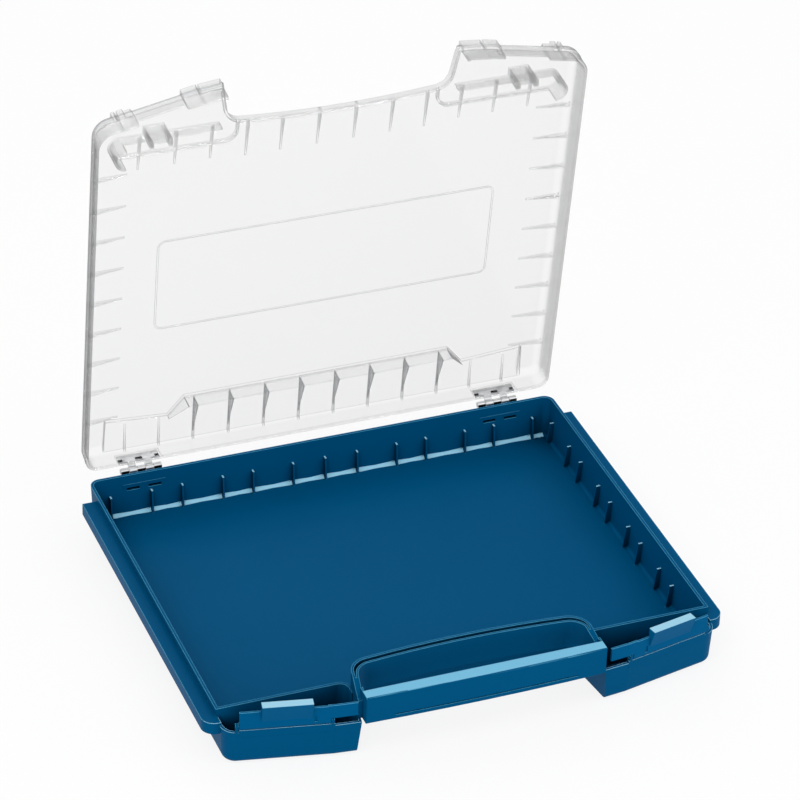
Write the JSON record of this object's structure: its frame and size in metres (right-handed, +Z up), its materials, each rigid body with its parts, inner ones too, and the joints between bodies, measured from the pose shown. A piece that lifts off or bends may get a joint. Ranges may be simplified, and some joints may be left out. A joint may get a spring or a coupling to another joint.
{
  "type": "tool case",
  "caption": "Shallow blue tool case with a hinged clear lid, a moulded front handle, side rails and a turning latch on each front shoulder.",
  "frame": {"origin": "on the resting face, midway between the sides, 148 mm in front of the back wall", "axes": "+X to the right seen from the front, +Y to the back, +Z up; the case lies flat with its lid standing open"},
  "size_m": [0.367, 0.3325, 0.3446],
  "materials": {
    "blue_plastic": "satin",
    "latch_plastic": "satin",
    "clear_plastic": "gloss",
    "hinge_steel": "zinc plated",
    "pin_steel": "plain"
  },
  "bodies": {
    "base": {"base_tray": "blue_plastic", "left_hinge_base_leaf": "hinge_steel", "right_hinge_base_leaf": "hinge_steel", "left_hinge_pin": "pin_steel", "right_hinge_pin": "pin_steel"},
    "lid": {"lid_shell": "clear_plastic", "left_hinge_lid_leaf": "hinge_steel", "right_hinge_lid_leaf": "hinge_steel"},
    "right_latch_body": {"right_latch": "latch_plastic"},
    "left_latch_body": {"left_latch": "latch_plastic"}
  },
  "joints": [
    {"name": "lid_hinge", "type": "hinge", "parent": "base", "child": "lid", "pos_m": [0, 0.1526, 0.0334], "axis": [-1, 0, 0], "range_deg": [-83.1, 20]},
    {"name": "right_latch_pivot", "type": "hinge", "parent": "base", "child": "right_latch_body", "pos_m": [0.10269, -0.15403, 0.0304], "axis": [0.9789, 0.2045, 0], "range_deg": [0, 75]},
    {"name": "left_latch_pivot", "type": "hinge", "parent": "base", "child": "left_latch_body", "pos_m": [-0.10269, -0.15403, 0.0304], "axis": [0.9789, -0.2045, 0], "range_deg": [0, 75]}
  ]
}
